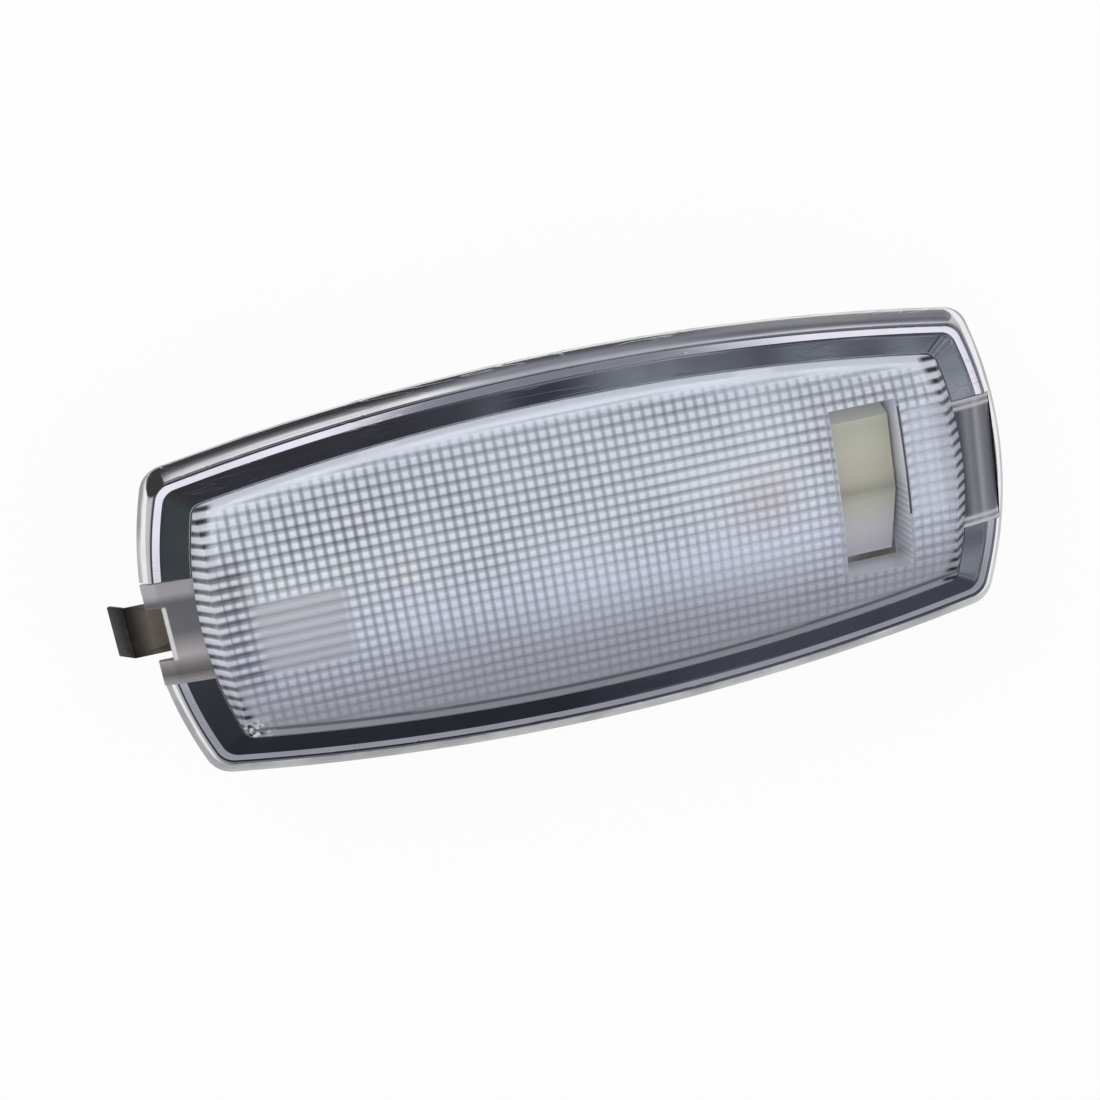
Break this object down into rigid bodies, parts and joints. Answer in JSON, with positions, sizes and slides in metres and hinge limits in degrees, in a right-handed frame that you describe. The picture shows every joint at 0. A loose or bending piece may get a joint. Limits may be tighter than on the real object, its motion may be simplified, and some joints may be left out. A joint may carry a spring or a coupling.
{
  "type": "car dome light",
  "caption": "Barrel-shaped interior light: chromed frame, clear ribbed lens with a rocker switch in a window, festoon bulb over a sheet reflector, spring clip at one end.",
  "frame": {"origin": "centre of the housing's flat back", "axes": "+X along the lamp towards the switch, +Y across it, +Z out of the lens"},
  "size_m": [0.1167, 0.0486, 0.0233],
  "materials": {
    "frame_chrome": "bright plated",
    "lens_plastic": "clear, ribbed on both faces",
    "housing_plastic": "moulded white",
    "reflector_sheet": "bright sheet",
    "spring_steel": "blued spring steel",
    "steel": "plain",
    "bulb_glass": "clear",
    "cap_metal": "nickel plated",
    "filament_wire": "drawn wire",
    "contact_brass": "stamped sheet",
    "switch_plastic": "moulded",
    "rocker_plastic": "moulded ivory"
  },
  "bodies": {
    "lamp": {"bezel": "frame_chrome", "lens": "lens_plastic", "housing": "housing_plastic", "reflector": "reflector_sheet", "spring_clip": "spring_steel", "clip_rivet": "steel", "bulb_glass": "bulb_glass", "bulb_cap_left": "cap_metal", "bulb_cap_right": "cap_metal", "filament": "filament_wire", "bulb_contact_left": "contact_brass", "bulb_contact_right": "contact_brass", "supply_rivet": "contact_brass", "link_rivet": "contact_brass", "switch_frame": "switch_plastic", "rocker_pin": "steel", "earth_contact": "contact_brass", "door_contact": "contact_brass", "earth_rivet": "contact_brass", "door_rivet": "contact_brass", "supply_terminal": "contact_brass", "earth_terminal": "contact_brass", "door_terminal": "contact_brass"},
    "rocker": {"rocker": "rocker_plastic", "rocker_contact": "contact_brass", "detent_ball": "steel", "detent_spring": "spring_steel"}
  },
  "joints": [
    {"name": "rocker_tilt", "type": "hinge", "parent": "lamp", "child": "rocker", "pos_m": [0.036, 0, 0.0145], "axis": [-1, 0, 0], "range_deg": [0, 24]}
  ]
}
